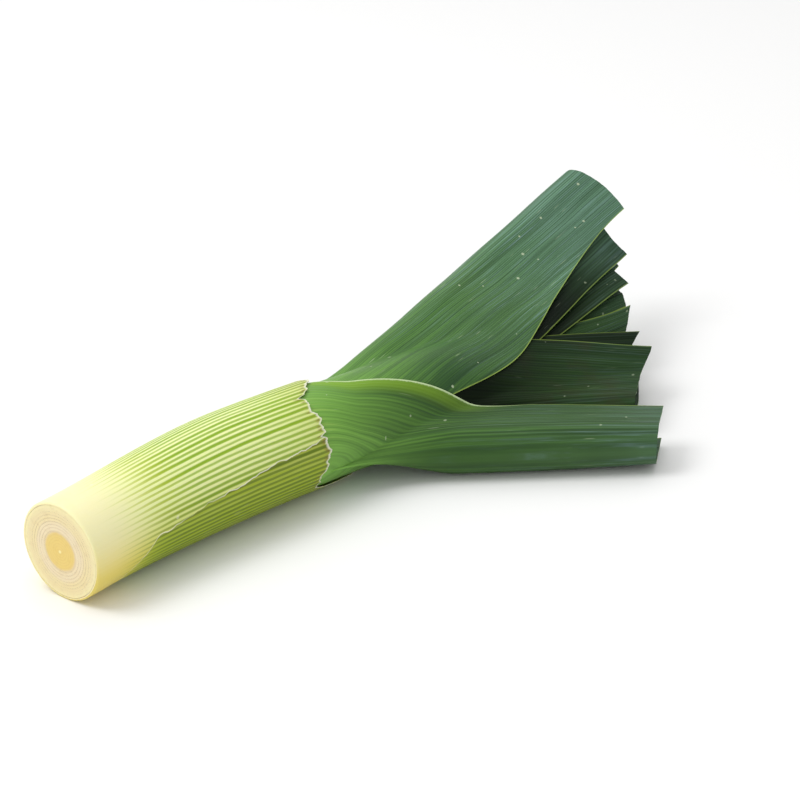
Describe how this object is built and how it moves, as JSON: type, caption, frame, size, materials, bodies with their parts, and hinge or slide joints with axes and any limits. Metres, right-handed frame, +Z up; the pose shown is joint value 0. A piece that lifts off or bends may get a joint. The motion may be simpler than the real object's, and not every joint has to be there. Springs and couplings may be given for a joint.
{
  "type": "leek",
  "caption": "Whole trimmed leek lying on its side: cut root end, long pale shank and a fan of folded green leaves cut across at the tips.",
  "frame": {"origin": "on the surface it lies on, under the middle of its box", "axes": "+X along the leek from the root cut to the leaf tips, +Y to the side that the upper leaves lean to, +Z up"},
  "size_m": [0.3624, 0.1452, 0.078],
  "materials": {
    "outer_sheath": "satin",
    "leaf": "satin",
    "heart": "matte"
  },
  "bodies": {
    "root": {"outer_sheath": "outer_sheath", "leaf_1": "leaf", "leaf_2": "leaf", "leaf_3": "leaf", "leaf_4": "leaf", "leaf_5": "leaf", "leaf_6": "leaf", "leaf_7": "leaf", "leaf_8": "leaf", "heart": "heart"}
  },
  "joints": []
}
